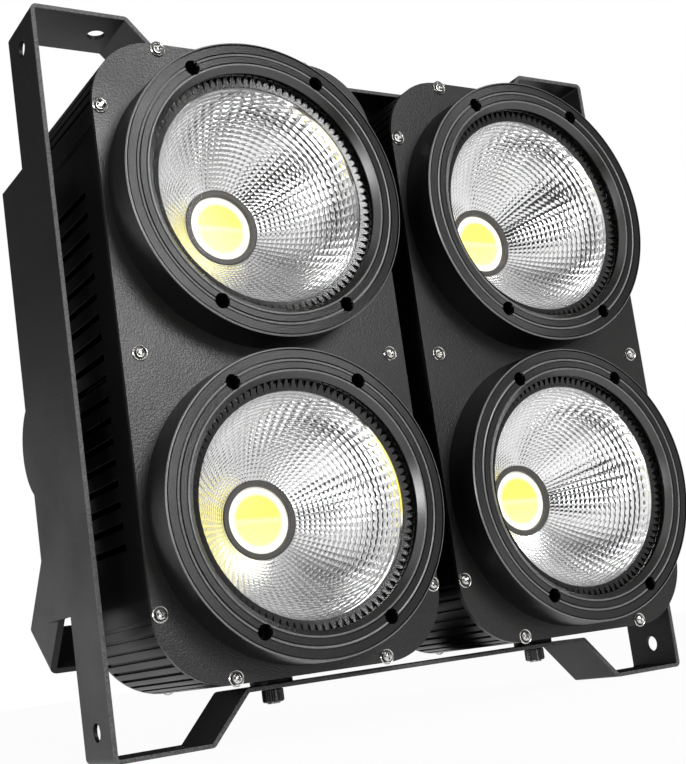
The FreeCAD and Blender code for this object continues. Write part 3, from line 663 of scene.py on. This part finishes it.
# The reflectors: spun aluminium bowls, pressed into a net of small domed pillows and mirror bright.
# The pillows follow rings and spokes and shrink towards the light chip, and a groove and a smooth
# band run round the rim.

bowl_rim = 65.0
bowl_band = 2.2
bowl_throat = 24.0
bowl_curve = 1.6
pillow_rise = 0.08
pillow_columns = 72
pillow_rows = 22
pillow_steps = 4
skin_rows = 20


def bowl_points(depth, count):
    """Points (radius, height above the throat) at even steps along the bowl, from its rim."""
    fine = 600
    line = []
    for index in range(fine + 1):
        share = index / fine
        radius = bowl_throat + (bowl_rim - bowl_throat) * (1 - share ** bowl_curve)
        line.append((radius, depth * (1 - share)))
    line = [point for point in line if point[1] <= depth - bowl_band]
    reach = [0.0]
    for start, end in zip(line, line[1:]):
        reach.append(reach[-1] + math.dist(start, end))
    points = []
    index = 0
    for step in range(count + 1):
        wanted = reach[-1] * step / count
        while index < len(line) - 1 and reach[index] < wanted - 0.000001:
            index += 1
        points.append(line[index])
    return points


def bowl(node, columns, rows, fineness):
    """One reflector: a grid bent and raised into pillows, and the turned skin behind it."""
    low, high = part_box(node)
    centre = (low + high) / 2
    flange = (high.x - low.x) * 500
    depth = (high.y - low.y) * 1000
    across = columns * fineness
    along = rows * fineness
    points = bowl_points(depth, along)
    shape = bmesh.new()
    bmesh.ops.create_grid(shape, x_segments=across, y_segments=along, size=0.5)
    for edge in shape.edges:
        start, end = (vert.co for vert in edge.verts)
        spoke = abs(start.x - end.x) < 0.0001
        steps = round((start.x + 0.5) * across) if spoke else round((start.y + 0.5) * along)
        edge.smooth = steps % fineness > 0
    for vert in shape.verts:
        column = round((vert.co.x + 0.5) * across)
        row = round((vert.co.y + 0.5) * along)
        radius, height = points[row]
        near = points[max(0, row - 1)]
        far = points[min(along, row + 1)]
        pitch = math.dist(near, far)
        lean = Vector(((near[1] - far[1]) / -pitch, (near[0] - far[0]) / pitch))
        u = 2 * (column % fineness) / fineness - 1
        v = 2 * (row % fineness) / fineness - 1
        cell = min(2 * math.pi * radius / columns, math.dist(points[0], points[fineness]))
        rise = pillow_rise * cell * (1 - u * u) * (1 - v * v)
        turn = 2 * math.pi * column / across
        radius = (radius + lean.x * rise) / 1000
        vert.co = (radius * math.cos(turn), radius * math.sin(turn),
                   (height + lean.y * rise) / 1000)
    net_radius, net_height = points[0]
    skin = [(net_radius, net_height), (net_radius + 0.3, net_height + 0.1),
            (net_radius + 0.3, net_height + 0.4), (net_radius, net_height + 0.5),
            (bowl_rim, depth), (flange, depth), (flange, depth - 1.0)]
    for radius, height in bowl_points(depth, skin_rows):
        skin.append((radius + 1.0, min(height, depth - 1.0)))
    skin += [(bowl_throat + 1.0, 0), (bowl_throat, 0)]
    shape = joined(shape, turned(skin, across, closed=False))
    bmesh.ops.remove_doubles(shape, verts=shape.verts, dist=0.00002)
    bmesh.ops.recalc_face_normals(shape, faces=shape.faces)
    return faced_forward(shape, (centre.x, high.y, centre.z))


# Bright rolled aluminium under clear lacquer: a clean mirror, with faint smears in its gloss.
mirror = bright_metal("bright_pressed_aluminium", "#fbfbfb", 5.0, 5.0, 0.03, 0.09)
for side in ("left", "right"):
    for level in ("upper", "lower"):
        node = "reflector_%s_%s" % (level, side)
        pressed = bowl(node, pillow_columns, pillow_rows, pillow_steps)
        piece = placed(node + "_finished", pressed, 30)
        dressed(piece, "module_" + side, "reflector_bright", mirror, node)


# The chip holders: grey moulded rings that press each light chip to the heat sink.

holder_plastic = grained("moulded_grey_pbt", "#4c4a47", "#6a6864", 0.35, 0.8, 0.05)
for side in ("left", "right"):
    node = "chip_holders_" + side
    for level, (low, high) in by_level(node):
        centre = (low + high) / 2
        outer = (high.x - low.x) * 500
        gauge = (high.y - low.y) * 1000
        shape = turned([(20.4, 0), (outer, 0), (outer, 0.6 * gauge), (24.2, 0.6 * gauge),
                        (23.8, 0.9 * gauge), (23.4, gauge), (20.8, gauge), (20.4, 0.9 * gauge)], 96)
        shape = faced_forward(shape, (centre.x, high.y, centre.z))
        piece = placed("chip_holder_%s_%s" % (level, side), shape)
        dressed(piece, "module_" + side, "holder_grey", holder_plastic, node)


# The light chips: white ceramic plates with a round dam and a yellow phosphor layer.
# A faint pale seam crosses the phosphor, and its upper half is the deeper yellow.

def phosphor(centre):
    """Yellow phosphor in clear silicone, paler below the seam and towards its rim, with a painted
    glow.
    """
    material = bpy.data.materials.new("yellow_phosphor_silicone")
    material.use_nodes = True
    tree = material.node_tree
    shader = tree.nodes["Principled BSDF"]
    place = add(tree, "TexCoord", {}).outputs["Object"]
    split = add(tree, "SeparateXYZ", {"Vector": place})
    grain = add(tree, "TexNoise", {"Vector": place, "Scale": 1000 / 1.2, "Detail": 3.0})
    lift = add(tree, "MapRange", {"Value": split.outputs["Z"], "From Min": centre.z - 0.017,
                                  "From Max": centre.z + 0.017})
    waver = add(tree, "Math", {0: grain.outputs["Fac"], 1: 0.02}, operation="MULTIPLY")
    height = add(tree, "Math", {0: lift.outputs["Result"], 1: waver.outputs[0]}, operation="ADD")
    ramp = add(tree, "ValToRGB", {"Fac": height.outputs[0]})
    stops = ((0.0, "#fbf49c"), (0.42, "#fbf38c"), (0.5, "#fcf6a8"), (0.58, "#faec68"),
             (1.0, "#faec64"))
    band = ramp.color_ramp
    for index, (place_share, code) in enumerate(stops):
        stop = band.elements[index] if index < 2 else band.elements.new(place_share)
        stop.position = place_share
        stop.color = linear(code)
    flat = add(tree, "VectorMath", {0: place, 1: (1.0, 0.0, 1.0)}, operation="MULTIPLY")
    gap = add(tree, "VectorMath", {0: flat.outputs["Vector"], 1: (centre.x, 0.0, centre.z)},
              operation="DISTANCE")
    rim = add(tree, "MapRange", {"Value": gap.outputs["Value"], "From Min": 0.0145,
                                 "From Max": 0.0168})
    colour = add(tree, "Mix", {0: rim.outputs["Result"], 6: ramp.outputs["Color"],
                               7: linear("#fdfae0")}, data_type="RGBA")
    tree.links.new(colour.outputs[2], shader.inputs["Base Color"])
    # Painted glow: the emission only brightens the phosphor's own colour.
    tree.links.new(colour.outputs[2], shader.inputs["Emission Color"])
    shader.inputs["Emission Strength"].default_value = 0.5
    shader.inputs["Roughness"].default_value = 0.3
    return material


def chip_ceramic():
    """White glazed ceramic, a little uneven, with a faint painted glow."""
    material = grained("white_glazed_ceramic", "#f4f1ea", "#fffdf6", 0.25, 1.5, 0.03)
    shader = material.node_tree.nodes["Principled BSDF"]
    # Painted glow: the ceramic is no lamp, and its emission only brightens it.
    shader.inputs["Emission Color"].default_value = linear("#fffdf0")
    shader.inputs["Emission Strength"].default_value = 0.45
    return material


ceramic = chip_ceramic()
for side in ("left", "right"):
    node = "light_chips_" + side
    for level, (low, high) in by_level(node):
        centre = (low + high) / 2
        height = (high.y - low.y) * 1000
        half = (high.x - low.x) * 500
        plate = turned([(0, 0), (half, 0), (half, 0.6 * height), (20.2, 0.6 * height),
                        (20.0, 0.8 * height), (17.2, 0.84 * height), (16.6, 0.7 * height),
                        (0, 0.7 * height)], 96, closed=False)
        layer = turned([(0, 0.7 * height), (16.9, 0.7 * height), (16.2, 0.88 * height),
                        (0, height)], 96, closed=False)
        for name, shape, material in (("chip_plate", plate, ceramic),
                                      ("chip_phosphor", layer, phosphor(centre))):
            shape = faced_forward(shape, (centre.x, high.y, centre.z))
            piece = placed("%s_%s_%s" % (name, level, side), shape)
            dressed(piece, "module_" + side, "chip_phosphor", material, node)


# The glasses: clear toughened discs that close each lamp, thin and clean.

def clear_glass():
    """Clear glass that lets light straight through and mirrors a little at a slant."""
    material = bpy.data.materials.new("clear_toughened_glass")
    material.use_nodes = True
    tree = material.node_tree
    tree.nodes.clear()
    rim = add(tree, "Fresnel", {"IOR": 1.06})
    clear = add(tree, "BsdfTransparent", {"Color": linear("#fdfdfd")})
    shine = add(tree, "BsdfGlossy", {"Color": linear("#ffffff"), "Roughness": 0.02})
    both = add(tree, "MixShader", {"Fac": rim.outputs[0], 1: clear.outputs[0], 2: shine.outputs[0]})
    add(tree, "OutputMaterial", {"Surface": both.outputs[0]})
    return material


glass = clear_glass()
for side in ("left", "right"):
    for level in ("upper", "lower"):
        coated(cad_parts["lens_glass_%s_%s" % (level, side)], glass)


# The pan pivots: nylon spacers, zinc plated studs with lock nuts, and knurled nuts below.

nut_bore = 4.05
knurl_share = 0.94


def knurled_nut(node, ridges):
    """A round nut whose side is cut into upright ridges, with chamfered ends and an open bore."""
    low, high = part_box(node)
    centre = (low + high) / 2
    radius = (high.x - low.x) * 500
    height = (high.z - low.z) * 1000
    profile = [(nut_bore, 0), (0.86 * radius, 0), (radius, 0.1 * height), (radius, 0.9 * height),
               (0.86 * radius, height), (nut_bore, height)]
    shape = turned(profile, 2 * ridges)
    for vert in shape.verts:
        reach = math.hypot(vert.co.x, vert.co.y)
        turn = round(math.atan2(vert.co.y, vert.co.x) / (math.pi / ridges))
        if reach > 0.95 * radius / 1000 and turn % 2:
            vert.co.x *= knurl_share
            vert.co.y *= knurl_share
    bmesh.ops.translate(shape, verts=shape.verts, vec=(centre.x, centre.y, low.z))
    return shape


dark_steel = grained("blackened_knurled_steel", "#2a2a2b", "#6b6b6b", 0.26, 0.7, 0.05,
                     metallic=0.9)
zinc = grained("zinc_plated_steel", "#8d8f92", "#b5b7ba", 0.3, 0.8, 0.05, metallic=1.0)
nylon = grained("black_nylon", "#0c0c0c", "#171717", 0.45, 0.7, 0.1)
for side in ("left", "right"):
    nut = "pan_nut_" + side
    dressed(placed(nut + "_finished", knurled_nut(nut, 30), 20), nut, "nut_dark", dark_steel, nut)
    softened("pan_studs_" + side, 0.3, "module_" + side, "pivot_steel", zinc)
    softened("pan_spacers_" + side, 0.3, "frame", "spacer_nylon", nylon)


# The tilt levers: moulded nylon handles on steel studs, which clamp the yoke.

for side in ("left", "right"):
    softened("tilt_lever_" + side, 0.9, "tilt_lever_" + side, "lever_black", nylon)


# The back panel: smoked display window, grey rubber-feel buttons and black nylon sockets.
# The power sockets are lined in blue for the feed in and grey for the feed on, and the signal
# socket for the feed in holds three plated pins.

smoked = grained("smoked_acrylic", "#050506", "#0a0a0c", 0.08, 2.0, 0.01)
softened("display_window", 0.2, "module_left", "window_dark", smoked)
button_plastic = grained("moulded_grey_abs", "#57585a", "#6a6b6d", 0.4, 0.7, 0.05)
for name in ("menu", "down", "up", "enter"):
    softened("button_" + name, 0.4, "button_" + name, "button_grey", button_plastic)
softened("signal_sockets", 0.5, "module_left", "socket_black", nylon)
lined = softened("power_sockets", 0.5, "module_left", "socket_black", nylon)
well_radius = 0.0106
rim_height = 0.001
pin_circle = 0.0045
pin_radius = 0.0012
pin_length = 0.009


def in_well(face, low, high):
    """Whether a face of a socket lies in its round well, below the rim."""
    centre = (low + high) / 2
    reach = math.hypot(face.center.x - centre.x, face.center.z - centre.z)
    return reach < well_radius and face.center.y < high.y - rim_height


lined.data.materials.append(grained("moulded_blue_nylon", "#152f5c", "#1d3c6e", 0.4, 0.7, 0.05))
lined.data.materials.append(grained("moulded_grey_nylon", "#77797b", "#88898b", 0.4, 0.7, 0.05))
for index, (low, high) in enumerate(islands("power_sockets")):
    for face in lined.data.polygons:
        if in_well(face, low, high):
            face.material_index = index + 1
low, high = islands("signal_sockets")[0]
centre = (low + high) / 2
wells = [face.center.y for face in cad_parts["signal_sockets"].data.polygons
         if face.normal.y > 0.9 and in_well(face, low, high)]
pin = bmesh.new()
bmesh.ops.create_cone(pin, cap_ends=True, segments=20, radius1=pin_radius, radius2=pin_radius,
                      depth=pin_length)
tips = [edge for edge in pin.edges if all(vert.co.z > 0 for vert in edge.verts)]
bmesh.ops.bevel(pin, geom=tips, offset=pin_radius / 2, offset_type="OFFSET", segments=3,
                profile=0.5, affect="EDGES", material=-1)
places = []
for corner in range(3):
    turn = math.radians(90 + 120 * corner)
    places.append((centre.x + pin_circle * math.cos(turn), min(wells) + pin_length / 2,
                   centre.z + pin_circle * math.sin(turn)))
pins = copies(pin, places, [facing((0, 1, 0), 0.0)] * 3)
dressed(placed("signal_pins_finished", pins), "module_left", "screw_chrome", nickel)


# Inside the cases: heat sinks, drivers, fans, seals and the control board keep their solids.

inner = {
    "heat_sink": grained("plain_extruded_aluminium", "#a8abae", "#c3c6c9", 0.38, 1.0, 0.1,
                         metallic=1.0),
    "driver_box": grained("dull_folded_aluminium", "#8e9194", "#a3a6a9", 0.5, 1.2, 0.1,
                          metallic=1.0),
    "fan_frame": grained("moulded_fan_plastic", "#111111", "#1c1c1c", 0.42, 0.8, 0.08),
    "seal_rings": grained("black_silicone", "#141414", "#1e1e1e", 0.6, 1.0, 0.1),
}
for side in ("left", "right"):
    for name, material in inner.items():
        coated(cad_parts["%s_%s" % (name, side)], material)
    softened("fan_rotor_" + side, 0.2, "fan_rotor_" + side, "fan_plastic", inner["fan_frame"])
solder_mask = grained("green_solder_mask", "#0d4a26", "#14602f", 0.3, 1.0, 0.05)
coated(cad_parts["control_board"], solder_mask)
